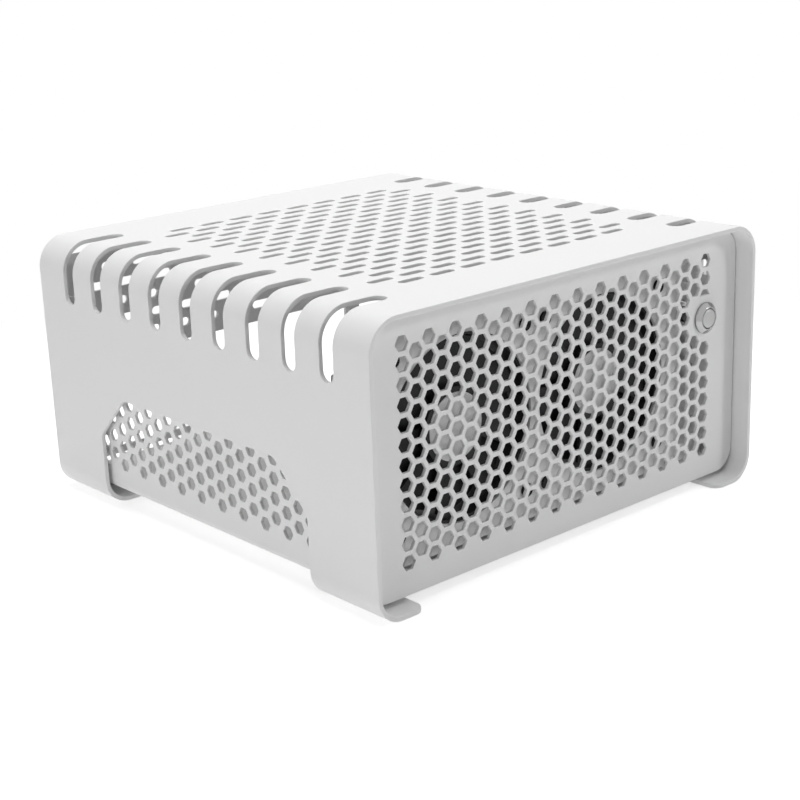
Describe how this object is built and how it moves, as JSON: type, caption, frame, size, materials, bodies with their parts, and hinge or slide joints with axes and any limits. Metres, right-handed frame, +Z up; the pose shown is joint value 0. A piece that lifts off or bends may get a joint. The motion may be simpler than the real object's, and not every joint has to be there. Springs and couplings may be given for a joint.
{
  "type": "htpc case",
  "caption": "Small media-centre computer case: folded white shell with wrap-round slots on curled feet, inner tray, honeycomb front panel with a push button, and fans behind it.",
  "frame": {"origin": "centre of the footprint on the table, at the underside of the feet", "axes": "+Z up, -Y towards the honeycomb front, +X to the right as seen from the front"},
  "size_m": [0.228, 0.23, 0.12],
  "materials": {
    "white_coat": "satin",
    "fan_black": "satin",
    "bearing_brass": "satin",
    "button_metal": "satin",
    "plated_steel": "satin"
  },
  "bodies": {
    "case": {"outer_shell": "white_coat", "front_panel": "white_coat", "panel_standoffs": "plated_steel", "fan_wall": "white_coat", "chassis_tray": "white_coat", "rear_panel": "white_coat", "foot_spacers": "plated_steel", "board_standoffs": "plated_steel", "fan_left_frame": "fan_black", "fan_left_bearing": "bearing_brass", "fan_right_frame": "fan_black", "fan_right_bearing": "bearing_brass", "button_body": "button_metal", "button_nut": "plated_steel", "button_terminals": "plated_steel"},
    "power_button": {"button_plunger": "button_metal"},
    "left_rotor": {"fan_left_rotor": "fan_black"},
    "right_rotor": {"fan_right_rotor": "fan_black"}
  },
  "joints": [
    {"name": "button_press", "type": "slide", "parent": "case", "child": "power_button", "axis": [0, 1, 0], "range_m": [0, 0.0012], "stiffness_N_per_m": 1500, "springref_m": -0.0008},
    {"name": "left_fan_spin", "type": "hinge", "parent": "case", "child": "left_rotor", "pos_m": [-0.0524, -0.094, 0.0612], "axis": [0, 1, 0], "continuous": true},
    {"name": "right_fan_spin", "type": "hinge", "parent": "case", "child": "right_rotor", "pos_m": [0.0311, -0.094, 0.0612], "axis": [0, 1, 0], "continuous": true}
  ]
}
